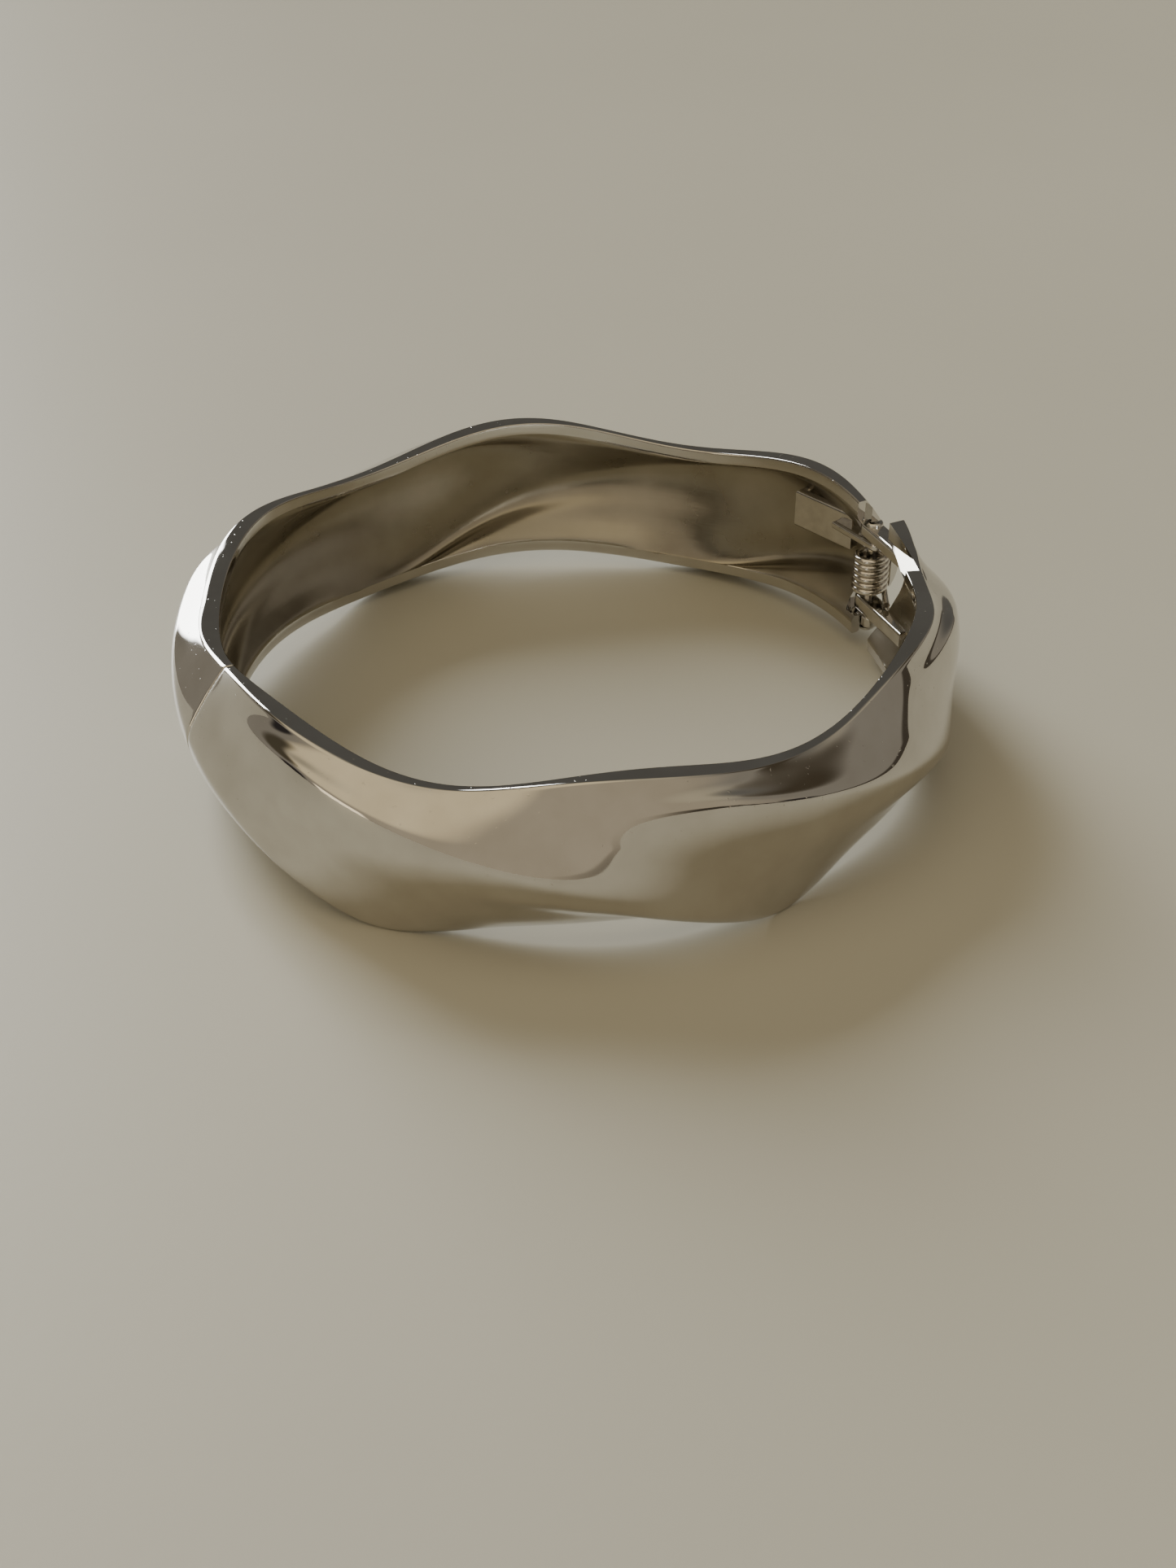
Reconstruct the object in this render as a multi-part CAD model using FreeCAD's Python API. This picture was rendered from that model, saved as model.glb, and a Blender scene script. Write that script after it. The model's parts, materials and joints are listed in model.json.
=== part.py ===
import FreeCAD, Part
import math
import os

# Hinged bangle bracelet, millimetres: two hollow cast half shells that butt together at one side
# and turn on a spring hinge at the other.
# Origin: centre of the wrist opening, on the plane the bangle lies on.  +Z up, +X towards the hinge.
# Ring angles run anticlockwise from +X seen from above.  The free ends meet at 180 degrees.
# A section point is (t, z): t outwards from the inner wall, square to it, and z the height.

Vector = FreeCAD.Vector
UP = Vector(0, 0, 1)

# Ring
INNER_A = 29.0            # wrist opening, half width towards the hinge
INNER_B = 27.9            # wrist opening, half width across
PERIOD = 60.0             # degrees of ring per wave
TOP_MEAN = 14.38          # mean height of the flat top rim
TOP_WAVE = 0.94           # rise and fall of the top rim
TOP_PEAK = 195.0          # ring angle of a crest of the top rim
TOP_WIDE_AT = 202.0       # ring angle where the top rim is widest
TOP_NARROW = 0.65         # narrowest top rim
TOP_SWELL = 0.95          # extra width of the top rim at its widest
TOP_SHARP = 1.3           # how quickly it narrows again
HINGE_SWELL = 2.2         # the front half's rim widens this much more at the hinge
HINGE_RUN = 14.0          # degrees of ring over which it does
FREE_SWELL = 0.8          # the back half's rim widens this much more near its free end
FREE_AT = 165.0           # centred on this ring angle
FREE_RUN = 10.0           # over this many degrees
BASE_MEAN = 1.26          # the same for the bottom rim
BASE_WAVE = 0.42
BASE_PEAK = 75.0
BASE_WIDE_AT = 215.0
BASE_NARROW = 0.6
BASE_SWELL = 1.2

# Section with its ridges
MID_T = 1.7               # section centre, outwards from the inner wall
MID_Z = 7.64              # section centre height
HALF_T = 2.7              # section half width
HALF_Z = 6.9              # section half height
VALLEY = 0.64             # section radius between ridges, as a share of the half sizes
RIDGE = 0.38              # extra radius on a ridge
RIDGE_MOST = 1.15         # two ridges close together add up to no more than this
RIDGE_FROM = 200.0        # ring angle where a ridge is RIDGE_HIGH degrees round the section
RIDGE_HIGH = 60.0
RIDGE_TURN = 1.35         # degrees a ridge turns down the section per degree of ring
DIVE = 38.0               # extra turn where a ridge dives under the band
DIVE_FROM = 50.0          # degrees of ring after RIDGE_FROM where it starts to dive
DIVE_RUN = 36.0           # and the run it takes
FADE = 14.0               # degrees of ring before RIDGE_FROM where a ridge begins
GROW = 24.0               # degrees of ring over which it grows
ABOVE = 24.0              # how fast the section falls away above a ridge, degrees
BELOW_WIDE = 40.0         # and below it, where the ridge is young
BELOW_TIGHT = 26.0        # and where it is old
TIGHTEN_FROM = 20.0
TIGHTEN_RUN = 26.0
CREST = 7.0               # rounding of the crest, degrees
SPAN = 105.0              # the outside runs this far up and down from the horizontal
BLEND = 35.0              # above and below this the outside eases into the rims
POINTS = 25               # points on one section's outside
STEP = 4.0                # most degrees of ring between lofted sections

# Hollow
WALL = 1.1                # shell wall at mid height
LIP = 1.1                 # plain inner wall left above and below the hollow
HOLLOW_POINTS = 15
FREE_CAP = 2.6            # degrees of ring left solid at the free end
PARTING = 0.05            # degrees of daylight at the free ends, each side
OVER = 2.0                # cutters run this far past what they cut, millimetres or degrees

# Hinge
PIN_X = 30.7
PIN_Y = 1.8
PIN_R = 0.5
PIN_FIT = 0.05            # running clearance round the pin
HEAD_R = 0.8              # peened ends of the pin
HEAD_H = 0.3
HEAD_ROUND = 0.24
FRONT_END = -1.4          # Y where the front shell stops
BACK_END = 1.5            # Y where the back shell stops
LUG_R = 1.6               # lugs stay this close to the pin axis, apart from their shanks
LUG_END = 1.25            # and end this far past it
END_ROUND = 0.7           # rounded corners of that end
LUG_FLAT = 0.8            # lugs are cut flat this far outside the pin axis
FRONT_IN = 0.95           # inner edge of the front lugs, in from the pin axis
BACK_IN = 0.85            # and of the back lugs
LUG_GAP = 0.15            # between stacked lugs
SWING = 0.3               # between a round end and the other half
FRONT_UPPER = (10.94, 12.24)
BACK_UPPER = (9.99, 10.79)
FRONT_LOWER = (3.34, 4.9)
BACK_LOWER = (1.99, 3.19)
FRONT_REACH = 7.0         # front lugs run this far from the pin
BACK_REACH = 4.6
BACK_LEAN = 12.0          # the back lugs follow the ring by leaning this much
STEP_FROM = 343.0         # ring angle where the front rim is cut back above its lug
BACK_STEP = 4.0           # and where the back rim is
STEP_T = 1.2              # the cut goes this far out
FIT_RUN = 40.0            # hinge parts lie within this many degrees of ring from the hinge
EDGE = 0.3                # softened edges of the lugs

# Spring and its cover bar
WIRE_R = 0.3
COIL_R = 1.35             # to the middle of the wire
COIL_TURNS = 6
LEG_TURN = 25.0           # each leg leaves this far round from straight out
COIL_LOW = 5.52           # wire centre of the first turn
COIL_HIGH = 9.33          # and of the last
LEG_RUN = 2.5
LEG_ROOM = 0.2            # round a leg and past its end
BAR_FROM = 2.9            # cover bar, from the pin along the back half
BAR_LENGTH = 6.7
BAR_LEAN = 20.0
BAR_IN = 0.5              # inner face of the bar, out from the pin axis
BAR_LOW = 8.04
BAR_HIGH = 11.74
BAR_THICK = 0.9
TAB = 1.6                 # the bar's far end turns outwards by this much
TAB_LOW = 10.24
def wave(angle, peak):
    """Plus one at a peak, minus one half a wave away."""
    return math.cos(2 * math.pi * (angle - peak) / PERIOD)


def bell(angle, middle, run):
    return math.exp(-((angle - middle) / run) ** 2)


def top_rim(angle):
    """Width and height of the top rim."""
    wide = TOP_SWELL * (0.5 + 0.5 * wave(angle, TOP_WIDE_AT)) ** TOP_SHARP
    wide += HINGE_SWELL * bell(angle, 360.0, HINGE_RUN) + FREE_SWELL * bell(angle, FREE_AT, FREE_RUN)
    return TOP_NARROW + wide, TOP_MEAN + TOP_WAVE * wave(angle, TOP_PEAK)


def base_rim(angle):
    """Outer edge of the flat bottom rim."""
    wide = (0.5 + 0.5 * wave(angle, BASE_WIDE_AT)) ** 2
    return BASE_NARROW + BASE_SWELL * wide, BASE_MEAN + BASE_WAVE * wave(angle, BASE_PEAK)


def smooth(share):
    """Nought to one with a soft start and end."""
    share = min(max(share, 0.0), 1.0)
    return share * share * (3 - 2 * share)


def ridge_sum(around, angle):
    """How much the ridges near this ring angle swell the section at one place round it."""
    first = RIDGE_FROM + PERIOD * math.floor((angle - RIDGE_FROM) / PERIOD)
    total = 0.0
    for k in (-2, -1, 0, 1):
        run = angle - first - k * PERIOD
        crest = RIDGE_HIGH - RIDGE_TURN * run - DIVE * smooth((run - DIVE_FROM) / DIVE_RUN)
        below = BELOW_WIDE - (BELOW_WIDE - BELOW_TIGHT) * smooth((run - TIGHTEN_FROM) / TIGHTEN_RUN)
        off = around - crest
        if off > 0:
            height = math.exp(-(math.hypot(off, CREST) - CREST) / ABOVE)
        else:
            height = math.exp(-(off / below) ** 2)
        total += height * smooth((run + FADE) / GROW)
    return min(total, RIDGE_MOST)


def plain_point(around, angle):
    radius = VALLEY + RIDGE * ridge_sum(around, angle)
    t = MID_T + HALF_T * radius * math.cos(math.radians(around))
    z = MID_Z + HALF_Z * radius * math.sin(math.radians(around))
    return t, z


def ease(around):
    """Nothing in the middle of the section, one at its end."""
    return max((around - BLEND) / (SPAN - BLEND), 0.0) ** 2


def outer_point(share, angle):
    """Outside of the section, share 0 at the top rim to 1 at the bottom rim."""
    around = SPAN - 2 * SPAN * share
    t, z = plain_point(around, angle)
    for side, rim in ((1, top_rim(angle)), (-1, base_rim(angle))):
        end_t, end_z = plain_point(side * SPAN, angle)
        weight = ease(side * around)
        t += weight * (rim[0] - end_t)
        z += weight * (rim[1] - end_z)
    return t, z


def hollow_point(share, angle):
    """Inside of the hollow, which follows the outside a wall's thickness in."""
    t, z = outer_point(share, angle)
    if z > MID_Z:
        rim_z = top_rim(angle)[1]
        shrink = (rim_z - LIP - MID_Z) / (rim_z - MID_Z)
    else:
        rim_z = base_rim(angle)[1]
        shrink = (rim_z + LIP - MID_Z) / (rim_z - MID_Z)
    return (t - WALL) * (1 - (2 * share - 1) ** 6), MID_Z + (z - MID_Z) * shrink


def place(angle, t, z):
    """A section point in space."""
    a = math.radians(angle)
    nx = math.cos(a) / INNER_A
    ny = math.sin(a) / INNER_B
    size = math.hypot(nx, ny)
    return Vector(INNER_A * math.cos(a) + t * nx / size, INNER_B * math.sin(a) + t * ny / size, z)


def curve(points):
    """Smooth curve whose points are evenly spread along its parameter, so that sections loft evenly."""
    spline = Part.BSplineCurve()
    spline.interpolate(Points=points, Parameters=[i / (len(points) - 1) for i in range(len(points))])
    return spline.toShape()


def band_section(angle):
    """Closed outline of the band before it is hollowed."""
    outside = [place(angle, *outer_point(i / (POINTS - 1), angle)) for i in range(POINTS)]
    inner_top = place(angle, 0, outside[0].z)
    inner_base = place(angle, 0, outside[-1].z)
    edges = [
        curve(outside),
        Part.makeLine(outside[-1], inner_base),
        Part.makeLine(inner_base, inner_top),
        Part.makeLine(inner_top, outside[0]),
    ]
    return Part.Wire(edges)


def shell_section(angle):
    """Closed outline of the hollowed band."""
    outside = [place(angle, *outer_point(i / (POINTS - 1), angle)) for i in range(POINTS)]
    inside = [place(angle, *hollow_point(i / (HOLLOW_POINTS - 1), angle)) for i in range(HOLLOW_POINTS)]
    inner_top = place(angle, 0, outside[0].z)
    inner_base = place(angle, 0, outside[-1].z)
    edges = [
        curve(outside),
        Part.makeLine(outside[-1], inner_base),
        Part.makeLine(inner_base, inside[-1]),
        curve(inside[::-1]),
        Part.makeLine(inside[0], inner_top),
        Part.makeLine(inner_top, outside[0]),
    ]
    return Part.Wire(edges)


def loft(section, start, stop):
    count = math.ceil((stop - start) / STEP) + 1
    wires = [section(start + (stop - start) * i / (count - 1)) for i in range(count)]
    solid = Part.makeLoft(wires, True, False)
    if solid.Volume < 0:
        solid.reverse()
    return solid


def box(low, high):
    size = Vector(*high) - Vector(*low)
    return Part.makeBox(size.x, size.y, size.z, Vector(*low))


def post(radius, low, high):
    """Cylinder on the hinge axis."""
    return Part.makeCylinder(radius, high - low, Vector(PIN_X, PIN_Y, low), UP)


def swung(shape, lean):
    """Turn a shape drawn about the origin and set it on the hinge axis."""
    shape.rotate(Vector(0, 0, 0), UP, lean)
    shape.translate(Vector(PIN_X, PIN_Y, 0))
    return shape


def flat_edges(solid, heights):
    """Edges that lie at one of the given heights."""
    found = []
    for edge in solid.Edges:
        low = edge.BoundBox.ZMin
        high = edge.BoundBox.ZMax
        if high - low < 1e-4 and min(abs(low - h) for h in heights) < 1e-4:
            found.append(edge)
    return found


def upright_edges(solid, y):
    """Edges that stand upright at one Y."""
    found = []
    for edge in solid.Edges:
        bounds = edge.BoundBox
        if bounds.ZLength > 0.1 and bounds.YLength < 1e-4 and abs(bounds.YMin - y) < 1e-4:
            found.append(edge)
    return found


def lug(span, reach, inner, lean, bore):
    """Flat lug: a straight shank, with a rounded end just past the hinge axis."""
    low, high = span
    end = -math.copysign(LUG_END, reach)
    whole = box((-inner, min(reach, end), low), (LUG_FLAT, max(reach, end), high))
    whole = whole.makeFillet(END_ROUND, upright_edges(whole, end))
    whole = whole.makeFillet(EDGE, flat_edges(whole, span))
    return swung(whole, lean).cut(post(bore, low - OVER, high + OVER))


def core_section(angle):
    """Closed outline of the band as far out as the middle of its wall."""
    points = [outer_point(i / (POINTS - 1), angle) for i in range(POINTS)]
    outside = [place(angle, t - WALL / 2, z) for t, z in points]
    inner_top = place(angle, -OVER, outside[0].z)
    inner_base = place(angle, -OVER, outside[-1].z)
    edges = [
        curve(outside),
        Part.makeLine(outside[-1], inner_base),
        Part.makeLine(inner_base, inner_top),
        Part.makeLine(inner_top, outside[0]),
    ]
    return Part.Wire(edges)


def within(piece, shell, start, stop, side):
    """A piece cut to fit the hollow of its shell, on the side of the hinge where the shell lies."""
    beyond = side.cut(loft(core_section, start, stop))
    return max(piece.cut(beyond).cut(shell).Solids, key=lambda solid: solid.Volume)


def hinge_pin():
    """Plain pin, peened over above the front upper lug and under the back lower one."""
    low = BACK_LOWER[0] - LUG_GAP
    high = FRONT_UPPER[1]
    top = post(HEAD_R, high, high + HEAD_H)
    top = top.makeFillet(HEAD_ROUND, flat_edges(top, [high + HEAD_H]))
    foot = post(HEAD_R, low - HEAD_H, low)
    foot = foot.makeFillet(HEAD_ROUND, flat_edges(foot, [low - HEAD_H]))
    return post(PIN_R, low, high).fuse([top, foot]).removeSplitter()


def coil_point(around, height):
    a = math.radians(around)
    return Vector(PIN_X + COIL_R * math.cos(a), PIN_Y + COIL_R * math.sin(a), height)


def coil_run(around):
    """Direction of the wire where it passes this side of the coil."""
    a = math.radians(around)
    rise = (COIL_HIGH - COIL_LOW) / (COIL_TURNS + 2 * LEG_TURN / 360.0)
    return Vector(-math.sin(a), math.cos(a), rise / (2 * math.pi * COIL_R))


def legs(radius, run):
    """The spring's two straight ends, in line with the wire where they leave the coil."""
    low = Part.makeCylinder(radius, run, coil_point(-LEG_TURN, COIL_LOW), -coil_run(-LEG_TURN))
    high = Part.makeCylinder(radius, run, coil_point(LEG_TURN, COIL_HIGH), coil_run(LEG_TURN))
    return [low, high]


def torsion_spring():
    """Close coil round the pin with a leg into each half."""
    rise = COIL_HIGH - COIL_LOW
    helix = Part.makeHelix(rise / (COIL_TURNS + 2 * LEG_TURN / 360.0), rise, COIL_R)
    helix.rotate(Vector(0, 0, 0), UP, -LEG_TURN)
    helix.translate(Vector(PIN_X, PIN_Y, COIL_LOW))
    ring = Part.Wire([Part.makeCircle(WIRE_R, coil_point(-LEG_TURN, COIL_LOW), coil_run(-LEG_TURN))])
    coil = Part.Wire(helix.Edges).makePipeShell([ring], True, True)
    return coil.fuse(legs(WIRE_R, LEG_RUN))


def cover_bar():
    """Flat bar along the back half over the spring's upper leg, its far end turned outwards."""
    far = BAR_FROM + BAR_LENGTH
    bar = box((BAR_IN, BAR_FROM, BAR_LOW), (BAR_IN + BAR_THICK, far, BAR_HIGH))
    tab = box((BAR_IN, far - BAR_THICK, TAB_LOW), (BAR_IN + TAB, far, BAR_HIGH))
    whole = bar.fuse(tab).removeSplitter()
    return swung(whole.makeFillet(EDGE, flat_edges(whole, [BAR_LOW, BAR_HIGH])), BAR_LEAN)


def shell(hinge, free):
    """Hollow half ring from the hinge to a solid cap at its free end."""
    cap = free - math.copysign(FREE_CAP, free - hinge)
    hollow = loft(shell_section, min(hinge, cap), max(hinge, cap))
    return hollow.fuse(loft(band_section, min(cap, free), max(cap, free)))


def hinge_room(lug_spans):
    """What a shell leaves free round the hinge: the spring, the pin and the other half's lugs."""
    coil = post(COIL_R + WIRE_R + SWING, COIL_LOW - WIRE_R - LUG_GAP, COIL_HIGH + WIRE_R + LUG_GAP)
    rooms = legs(WIRE_R + LEG_ROOM, LEG_RUN + LEG_ROOM)
    foot = BACK_LOWER[0] - 2 * LUG_GAP - HEAD_H
    head = FRONT_UPPER[1] + LUG_GAP + HEAD_H
    rooms.append(post(HEAD_R + LUG_GAP, foot, head))
    for low, high in lug_spans:
        rooms.append(post(LUG_R + SWING, low - LUG_GAP, high + LUG_GAP))
    return coil.fuse(rooms)


def step_section(angle):
    """Closed outline of the cut above the lugs, which follows the inner wall."""
    low = FRONT_UPPER[1]
    high = TOP_MEAN + 2 * OVER
    corners = [place(angle, t, z) for t, z in ((-OVER, low), (STEP_T, low), (STEP_T, high), (-OVER, high))]
    return Part.makePolygon(corners + corners[:1])


def front_shell():
    side = PIN_X + 3 * OVER
    end = box((INNER_A - OVER, FRONT_END, -OVER), (side, PIN_Y + OVER, TOP_MEAN + 3 * OVER))
    step = loft(step_section, STEP_FROM, 360.0 + OVER)
    return shell(360.0, 180.0 + PARTING).cut([end, step, hinge_room([BACK_UPPER, BACK_LOWER])])


def back_shell():
    side = PIN_X + 3 * OVER
    end = box((INNER_A - OVER, -2 * OVER, -OVER), (side, BACK_END, TOP_MEAN + 3 * OVER))
    step = loft(step_section, -OVER, BACK_STEP)
    return shell(0.0, 180.0 - PARTING).cut([end, step, hinge_room([FRONT_UPPER, FRONT_LOWER])])


def save(name, shape):
    shape.exportStep(os.path.join("parts", name + ".step"))
    print(name, len(shape.Solids), "solid", round(shape.Volume, 2), "mm3", shape.isValid())


def main():
    os.makedirs("parts", exist_ok=True)
    front = front_shell()
    back = back_shell()
    low = (INNER_A - 4 * OVER, -INNER_A, -OVER)
    high = (INNER_A + 4 * OVER, INNER_A, TOP_MEAN + 3 * OVER)
    front_fit = (front, 360.0 - FIT_RUN, 360.0 + OVER, box(low, (high[0], FRONT_END, high[2])))
    back_fit = (back, -OVER, FIT_RUN, box((low[0], PIN_Y + LUG_END, low[2]), high))
    loose = PIN_R + PIN_FIT
    bar = within(cover_bar(), *back_fit)
    upper = lug(BACK_UPPER, BACK_REACH, BACK_IN, BACK_LEAN, loose).cut(bar)
    save("front_shell", front)
    save("back_shell", back)
    save("front_upper_lug", within(lug(FRONT_UPPER, -FRONT_REACH, FRONT_IN, 0, PIN_R), *front_fit))
    save("front_lower_lug", within(lug(FRONT_LOWER, -FRONT_REACH, FRONT_IN, 0, PIN_R), *front_fit))
    save("back_upper_lug", within(upper, *back_fit))
    save("back_lower_lug", within(lug(BACK_LOWER, BACK_REACH, BACK_IN, BACK_LEAN, loose), *back_fit))
    save("spring_cover_bar", bar)
    save("hinge_pin", hinge_pin())
    save("torsion_spring", torsion_spring())


main()
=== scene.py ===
import json
import math

import bmesh
import bpy
import numpy as np
from mathutils import Matrix, Vector


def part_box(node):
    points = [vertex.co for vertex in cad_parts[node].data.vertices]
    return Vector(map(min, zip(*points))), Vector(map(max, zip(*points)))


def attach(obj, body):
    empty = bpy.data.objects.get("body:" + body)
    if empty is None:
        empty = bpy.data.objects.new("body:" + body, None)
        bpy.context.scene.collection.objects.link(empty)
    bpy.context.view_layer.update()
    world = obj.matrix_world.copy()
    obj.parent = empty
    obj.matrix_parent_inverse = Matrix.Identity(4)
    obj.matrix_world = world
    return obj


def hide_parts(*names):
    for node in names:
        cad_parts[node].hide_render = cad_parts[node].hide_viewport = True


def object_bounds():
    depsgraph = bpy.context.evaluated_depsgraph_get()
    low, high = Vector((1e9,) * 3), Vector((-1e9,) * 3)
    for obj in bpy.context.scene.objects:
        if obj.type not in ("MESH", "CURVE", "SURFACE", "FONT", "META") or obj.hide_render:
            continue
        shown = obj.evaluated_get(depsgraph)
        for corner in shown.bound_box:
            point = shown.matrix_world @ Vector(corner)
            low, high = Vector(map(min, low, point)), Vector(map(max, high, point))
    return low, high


# Hinged bangle bracelet.  The frame is in metres; the shells' sections are worked out in millimetres.

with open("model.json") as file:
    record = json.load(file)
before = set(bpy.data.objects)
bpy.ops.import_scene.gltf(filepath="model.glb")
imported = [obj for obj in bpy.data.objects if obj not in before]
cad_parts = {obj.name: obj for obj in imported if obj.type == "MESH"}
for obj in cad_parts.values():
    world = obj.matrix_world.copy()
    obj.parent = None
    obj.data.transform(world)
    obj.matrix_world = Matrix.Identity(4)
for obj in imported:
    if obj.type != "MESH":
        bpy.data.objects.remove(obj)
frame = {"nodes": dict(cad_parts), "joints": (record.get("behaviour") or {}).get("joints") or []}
CAD_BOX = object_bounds()
MM = 0.001

# Ring and section, as in the part
INNER_A = 29.0
INNER_B = 27.9
PERIOD = 60.0
TOP_MEAN = 14.38
TOP_WAVE = 0.94
TOP_PEAK = 195.0
TOP_WIDE_AT = 202.0
TOP_NARROW = 0.65
TOP_SWELL = 0.95
TOP_SHARP = 1.3
HINGE_SWELL = 2.2
HINGE_RUN = 14.0
FREE_SWELL = 0.8
FREE_AT = 165.0
FREE_RUN = 10.0
BASE_MEAN = 1.26
BASE_WAVE = 0.42
BASE_PEAK = 75.0
BASE_WIDE_AT = 215.0
BASE_NARROW = 0.6
BASE_SWELL = 1.2
MID_T = 1.7
MID_Z = 7.64
HALF_T = 2.7
HALF_Z = 6.9
VALLEY = 0.64
RIDGE = 0.38
RIDGE_MOST = 1.15
RIDGE_FROM = 200.0
RIDGE_HIGH = 60.0
RIDGE_TURN = 1.35
DIVE = 38.0
DIVE_FROM = 50.0
DIVE_RUN = 36.0
FADE = 14.0
GROW = 24.0
ABOVE = 24.0
BELOW_WIDE = 40.0
BELOW_TIGHT = 26.0
TIGHTEN_FROM = 20.0
TIGHTEN_RUN = 26.0
CREST = 7.0
SPAN = 105.0
BLEND = 35.0
WALL = 1.1
LIP = 1.1
SKIN = 0.02              # the visual shells sit this far inside the part's surface

# Fineness of the shells
RING_STEP = 0.6          # degrees
OUTER_POINTS = 120
INNER_POINTS = 80
LAND_POINTS = 4
DENSE = 400              # points a section is sampled at before it is evened out
RIM_ROUND = 0.22         # softened rim edges
LIP_ROUND = 0.16
RIM_SHARE = 0.45         # the softening takes no more than this share of a rim's width
HOLLOW_TRIM = 0.05       # points stay this far from the hollow's two edges
END_ROUND = 0.22         # softened edges of the free ends
EDGE_SPAN = 4            # points along the outside that give its direction at a rim
END_ROUND_STEPS = (22.5, 45.0, 67.5, 90.0)
CAP_RINGS = 4
CAP_GAP = 0.01           # degrees between the last hollow ring and the first solid one
SQUARED_RINGS = 8        # rings at the hinge end that are drawn over to its flat end
CAP_FROM = 2.6           # degrees of solid cap at the free end
PARTING = 0.05           # degrees of daylight at the free ends, each side

# Ends and cuts at the hinge
FRONT_END = -1.4 * MM    # Y where the front shell stops
BACK_END = 1.5 * MM      # Y where the back shell stops
STEP_FROM = 343.0        # degrees
BACK_STEP = 4.0
STEP_T = 1.2             # millimetres out from the inner wall
OVER = 2.0               # cutters run this far past the shell, millimetres or degrees
LUG_ROOM = 1.9 * MM
COIL_ROOM = 1.95 * MM
PIN_ROOM = 0.95 * MM
POST_SIDES = 96
LUG_GAP = 0.15 * MM
SMOOTH_BELOW = 35.0      # degrees; sharper edges stay sharp

# Places round a section where the inside of the hollow lies
CORNER_POINTS = 4
BEFORE_INSIDE = 3 * CORNER_POINTS + OUTER_POINTS + 2 * LAND_POINTS
INSIDE = range(BEFORE_INSIDE, BEFORE_INSIDE + INNER_POINTS)

JOINT = frame["joints"][0]
PIN = Vector(JOINT["pos_m"])


# ---------------------------------------------------------------- shape of the shells

def wave(angle, peak):
    """One at the peak and minus one half a wave from it."""
    return math.cos(math.radians(360.0 / PERIOD * (angle - peak)))


def bell(angle, middle, run):
    """One at the middle, falling off either side."""
    return math.exp(-((angle - middle) / run) ** 2)


def top_rim(angle):
    """Width and height of the top rim."""
    wide = TOP_SWELL * (0.5 + 0.5 * wave(angle, TOP_WIDE_AT)) ** TOP_SHARP
    wide += HINGE_SWELL * bell(angle, 360.0, HINGE_RUN) + FREE_SWELL * bell(angle, FREE_AT, FREE_RUN)
    return TOP_NARROW + wide, TOP_MEAN + TOP_WAVE * wave(angle, TOP_PEAK)


def base_rim(angle):
    """Width and height of the bottom rim."""
    wide = 0.5 + 0.5 * wave(angle, BASE_WIDE_AT)
    return BASE_NARROW + BASE_SWELL * wide ** 2, BASE_MEAN + BASE_WAVE * wave(angle, BASE_PEAK)


def smooth(share):
    """Nought to one with soft ends."""
    share = np.clip(share, 0.0, 1.0)
    return share * share * (3 - 2 * share)


def ridge_sum(around, angle):
    """How much the ridges near this ring angle swell the section at places round it."""
    first = RIDGE_FROM + PERIOD * math.floor((angle - RIDGE_FROM) / PERIOD)
    total = np.zeros_like(around)
    for k in (-2, -1, 0, 1):
        run = angle - first - k * PERIOD
        crest = RIDGE_HIGH - RIDGE_TURN * run - DIVE * smooth((run - DIVE_FROM) / DIVE_RUN)
        below = BELOW_WIDE - (BELOW_WIDE - BELOW_TIGHT) * smooth((run - TIGHTEN_FROM) / TIGHTEN_RUN)
        off = around - crest
        above = np.exp(-(np.hypot(off, CREST) - CREST) / ABOVE)
        under = np.exp(-(off / below) ** 2)
        total += np.where(off > 0, above, under) * smooth((run + FADE) / GROW)
    return np.minimum(total, RIDGE_MOST)


def outer_line(angle):
    """Outside of the section as rows of (t, z), from the top rim to the bottom rim."""
    around = SPAN - 2 * SPAN * np.linspace(0, 1, DENSE)
    radius = VALLEY + RIDGE * ridge_sum(around, angle)
    t = MID_T + HALF_T * radius * np.cos(np.radians(around))
    z = MID_Z + HALF_Z * radius * np.sin(np.radians(around))
    ends = ((1, top_rim(angle), t[0], z[0]), (-1, base_rim(angle), t[-1], z[-1]))
    for side, rim, end_t, end_z in ends:
        weight = np.maximum((side * around - BLEND) / (SPAN - BLEND), 0.0) ** 2
        t = t + weight * (rim[0] - end_t)
        z = z + weight * (rim[1] - end_z)
    return np.stack([t, z], 1)


def hollow_line(outer, angle):
    """Inside of the hollow, which follows the outside a wall's thickness in."""
    t = outer[:, 0]
    z = outer[:, 1]
    share = np.linspace(0, 1, len(t))
    high = top_rim(angle)[1]
    low = base_rim(angle)[1]
    shrink = np.where(z > MID_Z, (high - LIP - MID_Z) / (high - MID_Z), (low + LIP - MID_Z) / (low - MID_Z))
    return np.stack([(t - WALL) * (1 - (2 * share - 1) ** 6), MID_Z + (z - MID_Z) * shrink], 1)


def even(line, count, trim_start, trim_end):
    """The same line as evenly spaced points, with a little cut off each end."""
    run = np.concatenate([[0], np.cumsum(np.hypot(*np.diff(line, axis=0).T))])
    at = np.linspace(trim_start, run[-1] - trim_end, count)
    return np.stack([np.interp(at, run, line[:, 0]), np.interp(at, run, line[:, 1])], 1)


def corner(before, point, after, radius):
    """Points round a softened corner."""
    to_before = (before - point) / np.hypot(*(before - point))
    to_after = (after - point) / np.hypot(*(after - point))
    start = point + to_before * radius
    stop = point + to_after * radius
    shares = np.linspace(0, 1, CORNER_POINTS + 2)[1:-1, None]
    return start * (1 - shares) ** 2 + 2 * point * shares * (1 - shares) + stop * shares ** 2


def straight(a, b, trim_start, trim_end, count):
    """Points along a straight land, short of its corners."""
    length = np.hypot(*(b - a))
    shares = np.linspace(trim_start / length, 1 - trim_end / length, count)[:, None]
    return a + (b - a) * shares


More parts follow.
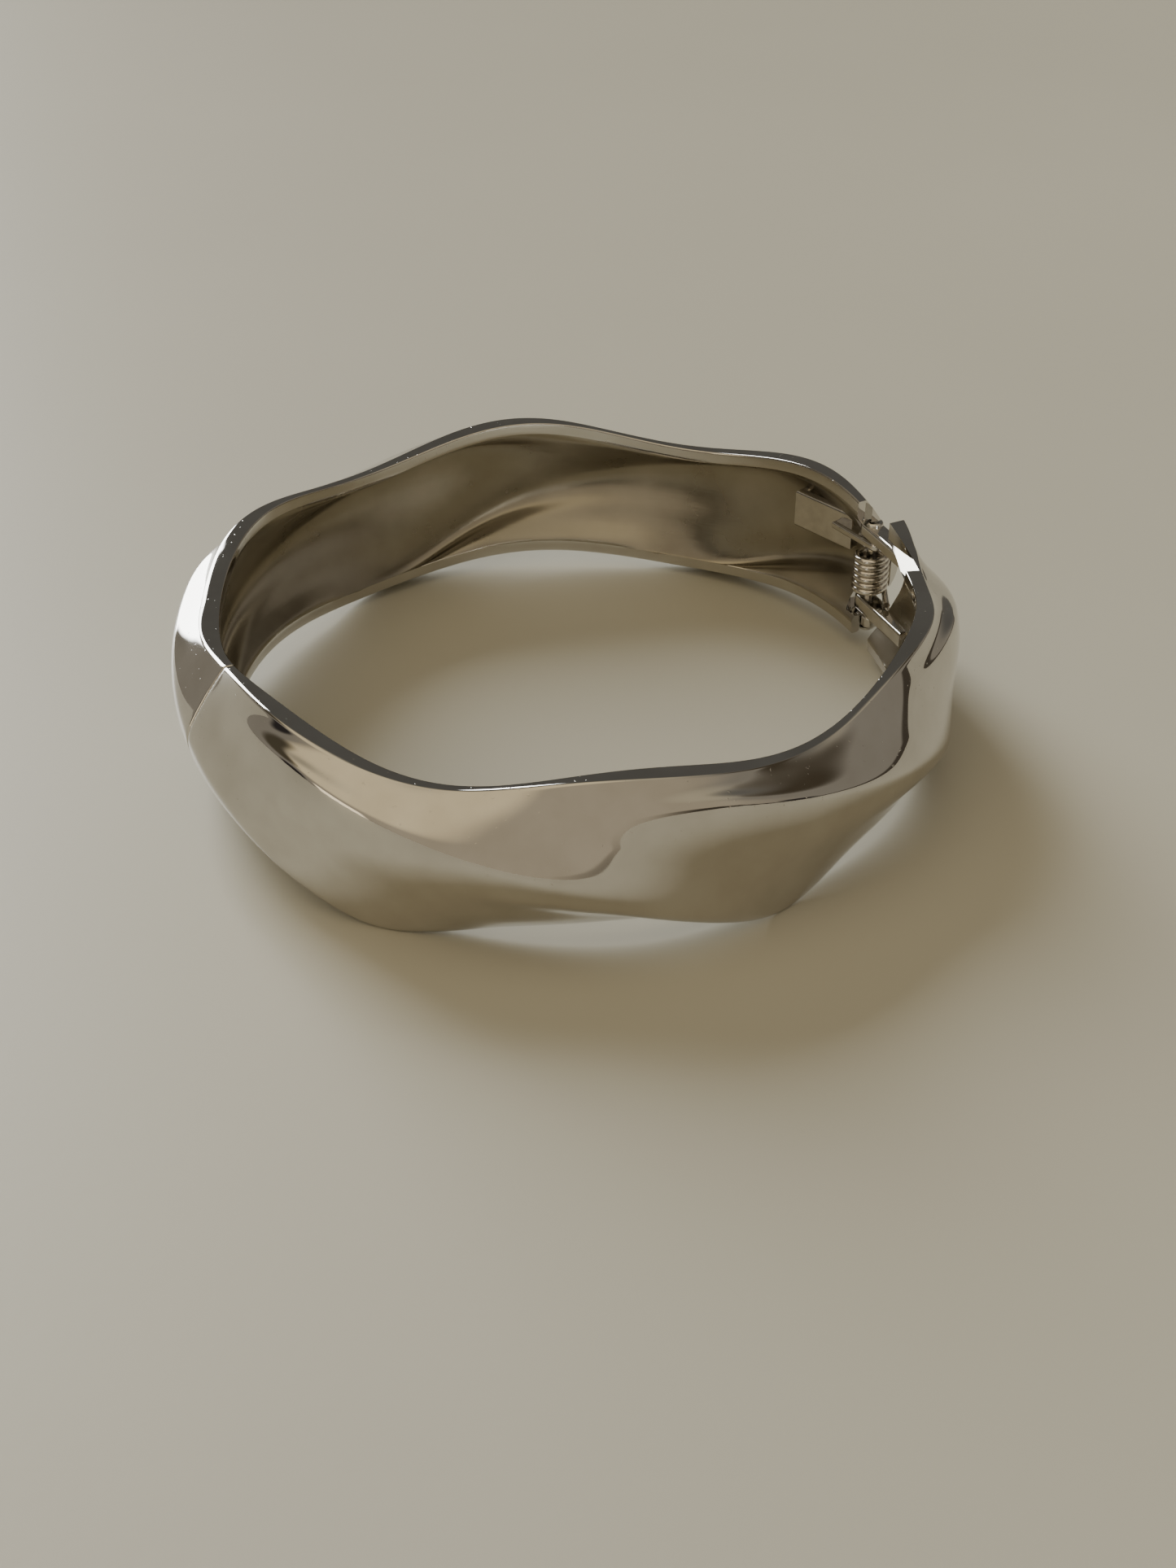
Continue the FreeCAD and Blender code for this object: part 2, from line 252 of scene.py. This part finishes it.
def section_loop(angle, hollow):
    """The closed outline of one section, hollow or solid, always with the same number of points."""
    outer = outer_line(angle)
    outer[:, 0] -= SKIN
    top = np.array([SKIN, outer[0, 1] - SKIN])
    base = np.array([SKIN, outer[-1, 1] + SKIN])
    outer[0, 1] -= SKIN
    outer[-1, 1] += SKIN
    inner = hollow_line(outer, angle)
    if not hollow:
        inner = np.stack([np.full(DENSE, SKIN), np.linspace(inner[0, 1], inner[-1, 1], DENSE)], 1)
    inner = inner[::-1]
    narrow = min(RIM_ROUND, RIM_SHARE * outer[0, 0], RIM_SHARE * outer[-1, 0])
    parts = [
        corner(top, outer[0], outer[EDGE_SPAN], narrow),
        even(outer, OUTER_POINTS, narrow, narrow),
        corner(outer[-1 - EDGE_SPAN], outer[-1], base, narrow),
        straight(outer[-1], base, narrow, LIP_ROUND, LAND_POINTS),
        corner(outer[-1], base, inner[0], LIP_ROUND),
        straight(base, inner[0], LIP_ROUND, HOLLOW_TRIM, LAND_POINTS),
        even(inner, INNER_POINTS, HOLLOW_TRIM, HOLLOW_TRIM),
        straight(inner[-1], top, HOLLOW_TRIM, LIP_ROUND, LAND_POINTS),
        corner(inner[-1], top, outer[0], LIP_ROUND),
        straight(top, outer[0], LIP_ROUND, narrow, LAND_POINTS),
    ]
    return np.concatenate(parts)


def shrunk(loop, depth):
    """The outline drawn in evenly, for a softened end."""
    if depth <= 0:
        return loop
    along = np.roll(loop, -2, 0) - np.roll(loop, 2, 0)
    size = np.hypot(along[:, 0], along[:, 1])
    inward = np.stack([along[:, 1], -along[:, 0]], 1) / np.maximum(size, 1e-6)[:, None]
    return loop + inward * depth


def place(angle, line):
    """Section points in space, in metres."""
    a = math.radians(angle)
    nx = math.cos(a) / INNER_A
    ny = math.sin(a) / INNER_B
    size = math.hypot(nx, ny)
    x = INNER_A * math.cos(a) + line[:, 0] * nx / size
    y = INNER_B * math.sin(a) + line[:, 0] * ny / size
    return np.stack([x, y, line[:, 1]], 1) * MM


def loop_mesh(name, rings, paints=(), inside=()):
    """A closed solid through rings of points, with a flat end at each end.

    The faces that start at the places round a ring given by inside get the second paint.
    """
    count = len(rings[0])
    verts = np.concatenate(rings)
    faces = []
    for i in range(len(rings) - 1):
        for j in range(count):
            k = (j + 1) % count
            low = i * count
            high = low + count
            faces.append((low + j, high + j, high + k, low + k))
    mesh = bpy.data.meshes.new(name)
    last = (len(rings) - 1) * count
    faces.append(tuple(range(count)))
    faces.append(tuple(last + j for j in reversed(range(count))))
    mesh.from_pydata(verts.tolist(), [], faces)
    for one in paints:
        mesh.materials.append(one)
    for face in mesh.polygons[:last]:
        face.material_index = int(face.index % count in inside)
    work = bmesh.new()
    work.from_mesh(mesh)
    bmesh.ops.recalc_face_normals(work, faces=work.faces)
    work.to_mesh(mesh)
    work.free()
    mesh.update()
    return add(name, mesh)


def add(name, mesh):
    piece = bpy.data.objects.new(name, mesh)
    bpy.context.scene.collection.objects.link(piece)
    return piece


def shell_rings(hinge_angle, free_angle, end_y):
    """Rings of one half, from its hinge end, flat at end_y, to its softened free end."""
    turn = math.copysign(1.0, free_angle - hinge_angle)
    whole = abs(free_angle - hinge_angle)
    start = math.degrees(math.asin(abs(end_y) / MM / INNER_B))
    soft = math.degrees(END_ROUND / INNER_A)
    runs = list(np.linspace(start, whole - CAP_FROM, round((whole - CAP_FROM - start) / RING_STEP)))
    runs += [whole - CAP_FROM + CAP_GAP]
    runs += list(np.linspace(whole - CAP_FROM + RING_STEP, whole - soft, CAP_RINGS))
    runs += [whole - soft * (1 - math.sin(math.radians(a))) for a in END_ROUND_STEPS]
    rings = []
    for run in runs:
        left = (whole - run) / soft
        depth = END_ROUND * (1 - math.sqrt(max(1 - (1 - left) ** 2, 0.0))) if left < 1 else 0.0
        angle = hinge_angle + turn * run
        loop = shrunk(section_loop(angle, run <= whole - CAP_FROM), depth)
        rings.append(place(angle, loop))
    for i in range(1, SQUARED_RINGS):
        pull = (1 - i / SQUARED_RINGS) ** 2
        rings[i][:, 1] += pull * (end_y - rings[0][:, 1])
    rings[0][:, 1] = end_y
    return rings


def cut(piece, cutters):
    """Take the cutters out of a piece for good."""
    for cutter in cutters:
        tool = piece.modifiers.new("cut", "BOOLEAN")
        tool.operation = "DIFFERENCE"
        tool.solver = "EXACT"
        tool.object = cutter
    bpy.context.view_layer.update()
    done = bpy.data.meshes.new_from_object(piece.evaluated_get(bpy.context.evaluated_depsgraph_get()))
    piece.modifiers.clear()
    old = piece.data
    piece.data = done
    bpy.data.meshes.remove(old)
    for cutter in cutters:
        bpy.data.objects.remove(cutter)


def soften(piece, degrees):
    """Smooth shading that keeps the true edges."""
    piece.data.polygons.foreach_set("use_smooth", [True] * len(piece.data.polygons))
    piece.data.set_sharp_from_angle(angle=math.radians(degrees))


def post_cutter(radius, low, high):
    """A round cutter on the hinge axis."""
    work = bmesh.new()
    bmesh.ops.create_cone(
        work,
        cap_ends=True,
        segments=POST_SIDES,
        radius1=radius,
        radius2=radius,
        depth=high - low,
    )
    bmesh.ops.translate(work, vec=(PIN.x, PIN.y, (low + high) / 2), verts=work.verts)
    mesh = bpy.data.meshes.new("cutter")
    work.to_mesh(mesh)
    work.free()
    return add("cutter", mesh)


def step_cutter(start, stop, floor):
    """The cut above the lugs, which follows the inner wall."""
    high = TOP_MEAN + 2 * OVER
    corners = np.array([(-OVER, floor), (STEP_T, floor), (STEP_T, high), (-OVER, high)])
    angles = np.linspace(start, stop, round(abs(stop - start) / RING_STEP) + 2)
    return loop_mesh("cutter", [place(angle, corners) for angle in angles])


def hinge_cutters(other_lugs):
    """Room for the other half's lugs, the coil and the pin's ends."""
    rooms = [(node, LUG_ROOM, LUG_GAP) for node in other_lugs]
    rooms += [("torsion_spring", COIL_ROOM, 0.0), ("hinge_pin", PIN_ROOM, LUG_GAP)]
    cutters = []
    for node, radius, gap in rooms:
        low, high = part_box(node)
        cutters.append(post_cutter(radius, low.z - gap, high.z + gap))
    return cutters


def build_shells(paints):
    """Both halves, each in place of its CAD shell, with room for the hinge."""
    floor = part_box("front_upper_lug")[1].z / MM
    front_rings = shell_rings(360.0, 180.0 + PARTING, FRONT_END)
    front = loop_mesh("front_half_shell", front_rings, paints, INSIDE)
    front_step = step_cutter(STEP_FROM, 360.0 + OVER, floor)
    cut(front, [front_step] + hinge_cutters(["back_upper_lug", "back_lower_lug"]))
    back_rings = shell_rings(0.0, 180.0 - PARTING, BACK_END)
    back = loop_mesh("back_half_shell", back_rings, paints, INSIDE)
    back_step = step_cutter(-OVER, BACK_STEP, floor)
    cut(back, [back_step] + hinge_cutters(["front_upper_lug", "front_lower_lug"]))
    for piece, body, node in ((front, "front_half", "front_shell"), (back, "back_half", "back_shell")):
        soften(piece, SMOOTH_BELOW)
        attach(piece, body)
        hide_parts(node)


# ---------------------------------------------------------------- materials

def material(name):
    """A new material with its nodes, links and main shader."""
    made = bpy.data.materials.new(name)
    made.use_nodes = True
    nodes = made.node_tree.nodes
    return made, nodes, made.node_tree.links, nodes["Principled BSDF"]


def noise(nodes, links, scale, detail, stretch=(1, 1, 1)):
    """Solid noise in object space, stretched if asked."""
    where = nodes.new("ShaderNodeTexCoord")
    mapping = nodes.new("ShaderNodeMapping")
    mapping.inputs["Scale"].default_value = stretch
    texture = nodes.new("ShaderNodeTexNoise")
    texture.inputs["Scale"].default_value = scale
    texture.inputs["Detail"].default_value = detail
    links.new(where.outputs["Object"], mapping.inputs["Vector"])
    links.new(mapping.outputs["Vector"], texture.inputs["Vector"])
    return texture.outputs["Fac"]


def ramp(nodes, links, source, low, high, start, stop):
    """A colour between low and high as the source goes from start to stop."""
    made = nodes.new("ShaderNodeValToRGB")
    made.color_ramp.elements[0].position = start
    made.color_ramp.elements[1].position = stop
    made.color_ramp.elements[0].color = low
    made.color_ramp.elements[1].color = high
    links.new(source, made.inputs["Fac"])
    return made.outputs["Color"]


def spread(nodes, links, source, from_low, from_high, to_low, to_high):
    """The source rescaled from one range to another."""
    made = nodes.new("ShaderNodeMapRange")
    made.inputs["From Min"].default_value = from_low
    made.inputs["From Max"].default_value = from_high
    made.inputs["To Min"].default_value = to_low
    made.inputs["To Max"].default_value = to_high
    links.new(source, made.inputs["Value"])
    return made.outputs["Result"]


def bump(nodes, links, source, distance, strength, before=None):
    """Relief from a source, over the relief before it if there is one."""
    made = nodes.new("ShaderNodeBump")
    made.inputs["Distance"].default_value = distance
    made.inputs["Strength"].default_value = strength
    links.new(source, made.inputs["Height"])
    if before:
        links.new(before, made.inputs["Normal"])
    return made.outputs["Normal"]


def plated_shell():
    """Mirror polished plating: faint smears, a slow ripple left by polishing, and fine grit."""
    made, nodes, links, shader = material("plated_shell")
    shader.inputs["Metallic"].default_value = 1.0
    smear = noise(nodes, links, 260.0, 3.0)
    speck = noise(nodes, links, 2600.0, 1.0)
    colour = ramp(nodes, links, smear, (0.60, 0.58, 0.55, 1), (0.66, 0.645, 0.62, 1), 0.35, 0.7)
    links.new(colour, shader.inputs["Base Color"])
    rough = spread(nodes, links, smear, 0.35, 0.75, 0.025, 0.07)
    links.new(rough, shader.inputs["Roughness"])
    ripple = noise(nodes, links, 190.0, 1.5)
    first = bump(nodes, links, ripple, 0.00006, 0.25)
    grit = spread(nodes, links, speck, 0.74, 0.78, 0.0, 1.0)
    links.new(bump(nodes, links, grit, 0.00003, 0.3, first), shader.inputs["Normal"])
    return made


def plated_inside_painted_shade():
    """The same plating inside the hollow, duller, and darker and browner as painted shade in the hollow,
    over coarse lines left by casting.
    """
    made, nodes, links, shader = material("plated_inside_painted_shade")
    shader.inputs["Metallic"].default_value = 1.0
    smear = noise(nodes, links, 120.0, 4.0)
    # painted shade: this darker, browner colour range stands in for the shaded reflections inside the
    # hollow
    colour = ramp(nodes, links, smear, (0.31, 0.285, 0.235, 1), (0.47, 0.44, 0.38, 1), 0.3, 0.7)
    links.new(colour, shader.inputs["Base Color"])
    links.new(spread(nodes, links, smear, 0.35, 0.7, 0.24, 0.4), shader.inputs["Roughness"])
    scratches = noise(nodes, links, 700.0, 3.0, (0.25, 0.25, 2.2))
    first = bump(nodes, links, scratches, 0.00005, 0.3)
    waves = noise(nodes, links, 150.0, 2.0, (0.6, 0.6, 1.6))
    links.new(bump(nodes, links, waves, 0.0001, 0.3, first), shader.inputs["Normal"])
    return made


def plated_hinge():
    """The same plating over small stamped pieces, a little rougher."""
    made, nodes, links, shader = material("plated_hinge")
    shader.inputs["Metallic"].default_value = 1.0
    smear = noise(nodes, links, 900.0, 3.0)
    colour = ramp(nodes, links, smear, (0.60, 0.58, 0.55, 1), (0.70, 0.68, 0.65, 1), 0.35, 0.7)
    links.new(colour, shader.inputs["Base Color"])
    links.new(spread(nodes, links, smear, 0.3, 0.7, 0.06, 0.16), shader.inputs["Roughness"])
    dents = noise(nodes, links, 1500.0, 2.0)
    links.new(bump(nodes, links, dents, 0.00004, 0.35), shader.inputs["Normal"])
    return made


def drawn_wire(name, colour_low, colour_high):
    """Drawn wire: fine lines along it and a slightly duller shine."""
    made, nodes, links, shader = material(name)
    shader.inputs["Metallic"].default_value = 1.0
    lines = noise(nodes, links, 3200.0, 2.0, (1, 1, 0.3))
    links.new(ramp(nodes, links, lines, colour_low, colour_high, 0.3, 0.7), shader.inputs["Base Color"])
    links.new(spread(nodes, links, lines, 0.3, 0.7, 0.10, 0.22), shader.inputs["Roughness"])
    links.new(bump(nodes, links, lines, 0.00002, 0.3), shader.inputs["Normal"])
    return made


def table_top():
    """Pale warm table with a faint mottle and a fine grain."""
    made, nodes, links, shader = material("table_top")
    shader.inputs["Roughness"].default_value = 0.42
    mottle = noise(nodes, links, 9.0, 4.0)
    colour = ramp(nodes, links, mottle, (0.57, 0.552, 0.473, 1), (0.61, 0.592, 0.51, 1), 0.3, 0.7)
    links.new(colour, shader.inputs["Base Color"])
    grain = noise(nodes, links, 900.0, 2.0)
    links.new(bump(nodes, links, grain, 0.00005, 0.15), shader.inputs["Normal"])
    return made


def paint(piece, made):
    """Give a piece one material."""
    piece.data.materials.clear()
    piece.data.materials.append(made)


# ---------------------------------------------------------------- table, light and camera

# The camera looks from TURN degrees round from the front and LIFT degrees above the table.
TURN = 25.0
LIFT = 35.69
DISTANCE = 0.19372       # metres to the point it looks at, which lies
SIDE = 0.0017            # this far to the right of the ring's centre,
ALONG = -0.0091          # this far beyond it
RAISE = 0.00064          # and this far above the table
ROLL = 0.0053            # radians
LENS = 53.24
SENSOR = 36.0
NEAREST = 0.005
TABLE_HALF = 0.6


def from_camera(azimuth, elevation):
    """A direction given in degrees clockwise from straight away from the camera, and above the table."""
    a = math.radians(azimuth)
    e = math.radians(elevation)
    seen = Vector((math.sin(a) * math.cos(e), math.cos(a) * math.cos(e), math.sin(e)))
    return Matrix.Rotation(-math.radians(TURN), 3, "Z") @ seen


def table():
    """The flat surface the bangle lies on."""
    work = bmesh.new()
    bmesh.ops.create_grid(work, x_segments=2, y_segments=2, size=TABLE_HALF)
    mesh = bpy.data.meshes.new("table")
    work.to_mesh(mesh)
    work.free()
    top = add("table", mesh)
    top.location.z = CAD_BOX[0].z
    paint(top, table_top())


def camera():
    """The scene's camera."""
    data = bpy.data.cameras.new("camera")
    data.lens = LENS
    data.sensor_width = SENSOR
    data.clip_start = NEAREST
    made = bpy.data.objects.new("camera", data)
    bpy.context.scene.collection.objects.link(made)
    lift = math.radians(LIFT)
    spin = Matrix.Rotation(-math.radians(TURN), 3, "Z")
    behind = ALONG - DISTANCE * math.cos(lift)
    made.location = spin @ Vector((SIDE, behind, DISTANCE * math.sin(lift)))
    made.location.z += RAISE
    look = spin @ Vector((0, math.cos(lift), -math.sin(lift)))
    made.rotation_mode = "QUATERNION"
    roll = Matrix.Rotation(ROLL, 3, "Z").to_quaternion()
    made.rotation_quaternion = look.to_track_quat("-Z", "Y") @ roll
    bpy.context.scene.camera = made


class Sky:
    """The room as a world shader: a base colour, with soft patches laid over it one at a time."""

    def __init__(self, colour):
        world = bpy.data.worlds.new("room")
        bpy.context.scene.world = world
        world.use_nodes = True
        self.nodes = world.node_tree.nodes
        self.links = world.node_tree.links
        self.where = self.nodes.new("ShaderNodeTexCoord").outputs["Generated"]
        first = self.nodes.new("ShaderNodeRGB")
        first.outputs[0].default_value = (*colour, 1)
        self.colour = first.outputs[0]

    def dot(self, direction):
        made = self.nodes.new("ShaderNodeVectorMath")
        made.operation = "DOT_PRODUCT"
        made.inputs[1].default_value = direction
        self.links.new(self.where, made.inputs[0])
        return made.outputs["Value"]

    def maths(self, kind, a, b):
        made = self.nodes.new("ShaderNodeMath")
        made.operation = kind
        for socket, value in ((made.inputs[0], a), (made.inputs[1], b)):
            if isinstance(value, float):
                socket.default_value = value
            else:
                self.links.new(value, socket)
        return made.outputs[0]

    def step(self, value, none, full):
        """Nought at none and one at full, with soft ends."""
        made = self.nodes.new("ShaderNodeMapRange")
        made.interpolation_type = "SMOOTHSTEP"
        made.inputs["From Min"].default_value = min(none, full)
        made.inputs["From Max"].default_value = max(none, full)
        made.inputs["To Min"].default_value = 0.0 if none < full else 1.0
        made.inputs["To Max"].default_value = 1.0 if none < full else 0.0
        self.links.new(value, made.inputs["Value"])
        return made.outputs["Result"]

    def lay(self, share, colour):
        made = self.nodes.new("ShaderNodeMix")
        made.data_type = "RGBA"
        self.links.new(share, made.inputs["Factor"])
        self.links.new(self.colour, made.inputs["A"])
        made.inputs["B"].default_value = (*colour, 1)
        self.colour = made.outputs["Result"]

    def patch(self, azimuth, elevation, full, none, colour):
        """A round patch, full strength within one angle and gone beyond another."""
        across = self.dot(from_camera(azimuth, elevation))
        self.lay(self.step(across, math.cos(math.radians(none)), math.cos(math.radians(full))), colour)

    def pane(self, azimuth, elevation, width, height, edge, colour):
        """A rectangular patch, its sizes in degrees."""
        ahead = self.dot(from_camera(azimuth, elevation))
        right = self.dot(from_camera(azimuth + 90.0, 0.0))
        up = self.dot(from_camera(azimuth, elevation + 90.0))
        share = self.step(ahead, 0.0, 0.1)
        for value, size in ((right, width), (up, height)):
            off = self.maths("ABSOLUTE", self.maths("DIVIDE", value, ahead), 0.0)
            far = math.tan(math.radians(size / 2 + edge))
            near = math.tan(math.radians(size / 2))
            share = self.maths("MULTIPLY", share, self.step(off, far, near))
        self.lay(share, colour)

    def skirting(self, azimuth, reach, height, colour):
        """A low band at the level of the table, centred on an azimuth."""
        up = self.dot((0.0, 0.0, 1.0))
        low = self.step(up, math.sin(math.radians(2 * height)), math.sin(math.radians(height)))
        ahead = self.dot(from_camera(azimuth, 0.0))
        near = self.step(ahead, math.cos(math.radians(reach)), math.cos(math.radians(reach * 0.7)))
        self.lay(self.maths("MULTIPLY", low, near), colour)

    def done(self):
        background = self.nodes["Background"]
        self.links.new(self.colour, background.inputs["Color"])


def room():
    """Soft room light: a window at the back left, warm walls behind the camera, darker ones ahead."""
    sky = Sky((0.265, 0.236, 0.188))
    sky.patch(180.0, 25.0, 30.0, 75.0, (0.46, 0.39, 0.28))
    sky.patch(0.0, 90.0, 10.0, 45.0, (0.54, 0.47, 0.33))
    sky.patch(-120.0, 62.0, 14.0, 38.0, (0.88, 0.73, 0.46))
    sky.patch(0.0, 28.0, 28.0, 54.0, (0.11, 0.105, 0.092))
    sky.patch(62.0, 38.0, 6.0, 16.0, (0.07, 0.055, 0.035))
    sky.patch(-74.0, 36.0, 8.0, 22.0, (0.085, 0.07, 0.045))
    sky.patch(-100.0, 5.0, 6.0, 13.0, (0.035, 0.03, 0.028))
    sky.patch(112.0, 5.0, 3.0, 8.0, (0.035, 0.03, 0.028))
    sky.skirting(97.0, 80.0, 1.7, (0.07, 0.058, 0.042))
    sky.pane(-125.0, 6.0, 12.0, 14.0, 3.0, (1.9, 1.6, 1.1))
    sky.pane(-34.0, 22.0, 22.0, 46.0, 2.0, (11.5, 11.7, 11.5))
    sky.done()


# ---------------------------------------------------------------- the scene


build_shells([plated_shell(), plated_inside_painted_shade()])
hinge_paint = plated_hinge()
for name in ("front_upper_lug", "front_lower_lug", "back_upper_lug", "back_lower_lug", "spring_cover_bar"):
    paint(frame["nodes"][name], hinge_paint)
pin_paint = drawn_wire("pin_steel", (0.6, 0.59, 0.57, 1), (0.78, 0.77, 0.75, 1))
paint(frame["nodes"]["hinge_pin"], pin_paint)
spring_paint = drawn_wire("spring_wire", (0.62, 0.58, 0.53, 1), (0.8, 0.77, 0.72, 1))
paint(frame["nodes"]["torsion_spring"], spring_paint)
table()
room()
camera()
